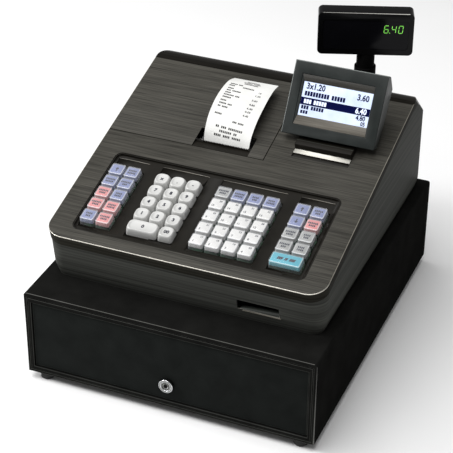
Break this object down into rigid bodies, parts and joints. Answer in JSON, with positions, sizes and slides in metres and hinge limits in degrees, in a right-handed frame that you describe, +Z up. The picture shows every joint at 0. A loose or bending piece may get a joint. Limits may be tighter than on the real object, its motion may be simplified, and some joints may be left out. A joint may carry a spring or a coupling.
{
  "type": "cash register",
  "caption": "Countertop electronic cash register with receipt printer, tilting operator display, raised customer display and a lockable cash drawer underneath.",
  "frame": {"origin": "centre of the footprint, on the surface that the feet stand on", "axes": "+X to the operator's right, +Y to the back, +Z up; the drawer opens towards -Y"},
  "size_m": [0.355, 0.4275, 0.3555],
  "materials": {
    "case_paint": "satin black powder coat",
    "front_paint": "satin black powder coat, smoother on the panel",
    "rubber": "matt black moulded rubber",
    "steel": "zinc-plated steel",
    "chrome": "bright nickel-chrome plate",
    "till_plastic": "black moulded styrene with a fine grain",
    "clip_plastic": "dark grey moulded nylon",
    "cabinet_plastic": "dark bronze charcoal, fine brushed pattern",
    "face_plastic": "dark bronze charcoal, brushed along its width, semi-gloss",
    "bezel_plastic": "near-black satin plastic",
    "circuit_board": "green solder-masked laminate",
    "transformer_steel": "varnished steel laminations",
    "paper": "white thermal paper, slight sheen",
    "display_plastic": "dark blue-grey moulded plastic",
    "lcd_glass": "backlit pale blue liquid-crystal panel",
    "gloss_black": "polished black plastic",
    "display_window": "dark tinted acrylic",
    "key_grey": "light grey, smooth dished tops",
    "key_white": "white inserts under clear caps",
    "key_blue": "blue, red and grey inserts under clear caps",
    "key_cyan": "cyan insert under a clear cap"
  },
  "bodies": {
    "cabinet": {"drawer_case": "case_paint", "drawer_case_floor": "case_paint", "rubber_feet": "rubber", "drawer_release": "steel", "register_base": "steel", "lower_cabinet": "cabinet_plastic", "top_cabinet": "face_plastic", "keyboard_bezel": "bezel_plastic", "keyboard_board": "circuit_board", "main_board": "circuit_board", "transformer": "transformer_steel", "printer_frame": "till_plastic", "display_bracket": "bezel_plastic", "cord_gland": "rubber", "cabinet_screws": "steel"},
    "front_rollers": {"case_rollers": "steel"},
    "latch": {"drawer_latch": "steel"},
    "drawer": {"drawer_pan": "case_paint", "drawer_front": "front_paint", "till_insert": "till_plastic", "coin_tray": "till_plastic", "clip_shaft": "steel", "lock_barrel": "chrome"},
    "rear_rollers": {"drawer_rollers": "steel"},
    "lock": {"lock_plug": "chrome"},
    "printer_lid": {"printer_cover": "face_plastic", "paper_cutter": "bezel_plastic", "receipt_paper": "paper"},
    "roll": {"paper_roll": "paper"},
    "platen": {"platen_roller": "rubber"},
    "operator_display": {"operator_display_shell": "display_plastic", "lcd_panel": "lcd_glass"},
    "pole": {"customer_pole": "bezel_plastic"},
    "customer_display": {"customer_display_shell": "gloss_black", "customer_display_window": "display_window"},
    "note_clip_1": {"note_clip_1": "clip_plastic"},
    "note_clip_2": {"note_clip_2": "clip_plastic"},
    "note_clip_3": {"note_clip_3": "clip_plastic"},
    "note_clip_4": {"note_clip_4": "clip_plastic"},
    "key_0": {"key_0": "key_grey"},
    "key_00": {"key_00": "key_grey"},
    "key_1": {"key_1": "key_grey"},
    "key_2": {"key_2": "key_grey"},
    "key_3": {"key_3": "key_grey"},
    "key_4": {"key_4": "key_grey"},
    "key_5": {"key_5": "key_grey"},
    "key_6": {"key_6": "key_grey"},
    "key_7": {"key_7": "key_grey"},
    "key_8": {"key_8": "key_grey"},
    "key_9": {"key_9": "key_grey"},
    "keys_digit_top": {"keys_digit_top": "key_grey"},
    "keys_left_1": {"keys_left_1": "key_blue"},
    "keys_left_2": {"keys_left_2": "key_blue"},
    "keys_department_1": {"keys_department_1": "key_white"},
    "keys_department_2": {"keys_department_2": "key_white"},
    "keys_department_3": {"keys_department_3": "key_white"},
    "keys_department_4": {"keys_department_4": "key_white"},
    "keys_right_1": {"keys_right_1": "key_blue"},
    "keys_right_2": {"keys_right_2": "key_blue"},
    "key_total": {"key_total": "key_cyan"}
  },
  "joints": [
    {"name": "drawer_slide", "type": "slide", "parent": "cabinet", "child": "drawer", "axis": [0, -1, 0], "range_m": [0, 0.3]},
    {"name": "front_rollers_spin", "type": "hinge", "parent": "cabinet", "child": "front_rollers", "pos_m": [0, -0.192, 0.0207], "axis": [1, 0, 0], "continuous": true},
    {"name": "rear_rollers_spin", "type": "hinge", "parent": "drawer", "child": "rear_rollers", "pos_m": [0, 0.15, 0.0335], "axis": [1, 0, 0], "continuous": true},
    {"name": "latch_pivot", "type": "hinge", "parent": "cabinet", "child": "latch", "pos_m": [0.032, 0.19, 0.0315], "axis": [0, 0, 1], "range_deg": [-15, 0]},
    {"name": "note_clip_1_lift", "type": "hinge", "parent": "drawer", "child": "note_clip_1", "pos_m": [-0.11775, 0.15, 0.074], "axis": [-1, 0, 0], "range_deg": [0, 24], "stiffness_Nm_per_rad": 0.02, "springref_deg": -22.92},
    {"name": "note_clip_2_lift", "type": "hinge", "parent": "drawer", "child": "note_clip_2", "pos_m": [-0.03925, 0.15, 0.074], "axis": [-1, 0, 0], "range_deg": [0, 24], "stiffness_Nm_per_rad": 0.02, "springref_deg": -22.92},
    {"name": "note_clip_3_lift", "type": "hinge", "parent": "drawer", "child": "note_clip_3", "pos_m": [0.03925, 0.15, 0.074], "axis": [-1, 0, 0], "range_deg": [0, 24], "stiffness_Nm_per_rad": 0.02, "springref_deg": -22.92},
    {"name": "note_clip_4_lift", "type": "hinge", "parent": "drawer", "child": "note_clip_4", "pos_m": [0.11775, 0.15, 0.074], "axis": [-1, 0, 0], "range_deg": [0, 24], "stiffness_Nm_per_rad": 0.02, "springref_deg": -22.92},
    {"name": "lock_turn", "type": "hinge", "parent": "drawer", "child": "lock", "pos_m": [0, -0.21, 0.041], "axis": [0, 1, 0], "range_deg": [0, 90]},
    {"name": "printer_lid_hinge", "type": "hinge", "parent": "cabinet", "child": "printer_lid", "pos_m": [-0.06, 0.2084, 0.214], "axis": [-1, 0, 0], "range_deg": [0, 75]},
    {"name": "roll_spin", "type": "hinge", "parent": "cabinet", "child": "roll", "pos_m": [-0.0224, 0.108, 0.203], "axis": [-1, 0, 0], "continuous": true},
    {"name": "platen_spin", "type": "hinge", "parent": "cabinet", "child": "platen", "pos_m": [-0.0224, 0.021, 0.221], "axis": [-1, 0, 0], "continuous": true},
    {"name": "operator_display_tilt", "type": "hinge", "parent": "cabinet", "child": "operator_display", "pos_m": [0.09375, 0.056, 0.2525], "axis": [-1, 0, 0], "range_deg": [-4, 20]},
    {"name": "pole_slide", "type": "slide", "parent": "cabinet", "child": "pole", "axis": [0, 0, -1], "range_m": [0, 0.035]},
    {"name": "customer_display_swivel", "type": "hinge", "parent": "pole", "child": "customer_display", "pos_m": [0.0925, 0.18, 0.301], "axis": [0, 0, 1], "range_deg": [-40, 140]},
    {"name": "key_0_press", "type": "slide", "parent": "cabinet", "child": "key_0", "axis": [0, 0.2487, -0.9686], "range_m": [0, 0.0035], "stiffness_N_per_m": 250, "springref_m": -0.002},
    {"name": "key_00_press", "type": "slide", "parent": "cabinet", "child": "key_00", "axis": [0, 0.2487, -0.9686], "range_m": [0, 0.0035], "stiffness_N_per_m": 250, "springref_m": -0.002},
    {"name": "key_1_press", "type": "slide", "parent": "cabinet", "child": "key_1", "axis": [0, 0.2487, -0.9686], "range_m": [0, 0.0035], "stiffness_N_per_m": 250, "springref_m": -0.002},
    {"name": "key_2_press", "type": "slide", "parent": "cabinet", "child": "key_2", "axis": [0, 0.2487, -0.9686], "range_m": [0, 0.0035], "stiffness_N_per_m": 250, "springref_m": -0.002},
    {"name": "key_3_press", "type": "slide", "parent": "cabinet", "child": "key_3", "axis": [0, 0.2487, -0.9686], "range_m": [0, 0.0035], "stiffness_N_per_m": 250, "springref_m": -0.002},
    {"name": "key_4_press", "type": "slide", "parent": "cabinet", "child": "key_4", "axis": [0, 0.2487, -0.9686], "range_m": [0, 0.0035], "stiffness_N_per_m": 250, "springref_m": -0.002},
    {"name": "key_5_press", "type": "slide", "parent": "cabinet", "child": "key_5", "axis": [0, 0.2487, -0.9686], "range_m": [0, 0.0035], "stiffness_N_per_m": 250, "springref_m": -0.002},
    {"name": "key_6_press", "type": "slide", "parent": "cabinet", "child": "key_6", "axis": [0, 0.2487, -0.9686], "range_m": [0, 0.0035], "stiffness_N_per_m": 250, "springref_m": -0.002},
    {"name": "key_7_press", "type": "slide", "parent": "cabinet", "child": "key_7", "axis": [0, 0.2487, -0.9686], "range_m": [0, 0.0035], "stiffness_N_per_m": 250, "springref_m": -0.002},
    {"name": "key_8_press", "type": "slide", "parent": "cabinet", "child": "key_8", "axis": [0, 0.2487, -0.9686], "range_m": [0, 0.0035], "stiffness_N_per_m": 250, "springref_m": -0.002},
    {"name": "key_9_press", "type": "slide", "parent": "cabinet", "child": "key_9", "axis": [0, 0.2487, -0.9686], "range_m": [0, 0.0035], "stiffness_N_per_m": 250, "springref_m": -0.002},
    {"name": "keys_digit_top_press", "type": "slide", "parent": "cabinet", "child": "keys_digit_top", "axis": [0, 0.2487, -0.9686], "range_m": [0, 0.0035], "stiffness_N_per_m": 750, "springref_m": -0.002},
    {"name": "keys_left_1_press", "type": "slide", "parent": "cabinet", "child": "keys_left_1", "axis": [0, 0.2487, -0.9686], "range_m": [0, 0.0035], "stiffness_N_per_m": 1250, "springref_m": -0.002},
    {"name": "keys_left_2_press", "type": "slide", "parent": "cabinet", "child": "keys_left_2", "axis": [0, 0.2487, -0.9686], "range_m": [0, 0.0035], "stiffness_N_per_m": 1250, "springref_m": -0.002},
    {"name": "keys_department_1_press", "type": "slide", "parent": "cabinet", "child": "keys_department_1", "axis": [0, 0.2487, -0.9686], "range_m": [0, 0.0035], "stiffness_N_per_m": 1250, "springref_m": -0.002},
    {"name": "keys_department_2_press", "type": "slide", "parent": "cabinet", "child": "keys_department_2", "axis": [0, 0.2487, -0.9686], "range_m": [0, 0.0035], "stiffness_N_per_m": 1250, "springref_m": -0.002},
    {"name": "keys_department_3_press", "type": "slide", "parent": "cabinet", "child": "keys_department_3", "axis": [0, 0.2487, -0.9686], "range_m": [0, 0.0035], "stiffness_N_per_m": 1250, "springref_m": -0.002},
    {"name": "keys_department_4_press", "type": "slide", "parent": "cabinet", "child": "keys_department_4", "axis": [0, 0.2487, -0.9686], "range_m": [0, 0.0035], "stiffness_N_per_m": 1250, "springref_m": -0.002},
    {"name": "keys_right_1_press", "type": "slide", "parent": "cabinet", "child": "keys_right_1", "axis": [0, 0.2487, -0.9686], "range_m": [0, 0.0035], "stiffness_N_per_m": 1000, "springref_m": -0.002},
    {"name": "keys_right_2_press", "type": "slide", "parent": "cabinet", "child": "keys_right_2", "axis": [0, 0.2487, -0.9686], "range_m": [0, 0.0035], "stiffness_N_per_m": 1000, "springref_m": -0.002},
    {"name": "key_total_press", "type": "slide", "parent": "cabinet", "child": "key_total", "axis": [0, 0.2487, -0.9686], "range_m": [0, 0.0035], "stiffness_N_per_m": 250, "springref_m": -0.002}
  ],
  "couplings": [
    {"joint": "front_rollers_spin", "follows": "drawer_slide", "rad_per_m": 166.67},
    {"joint": "rear_rollers_spin", "follows": "drawer_slide", "rad_per_m": 166.67},
    {"joint": "platen_spin", "follows": "roll_spin", "ratio": 5.3333}
  ]
}
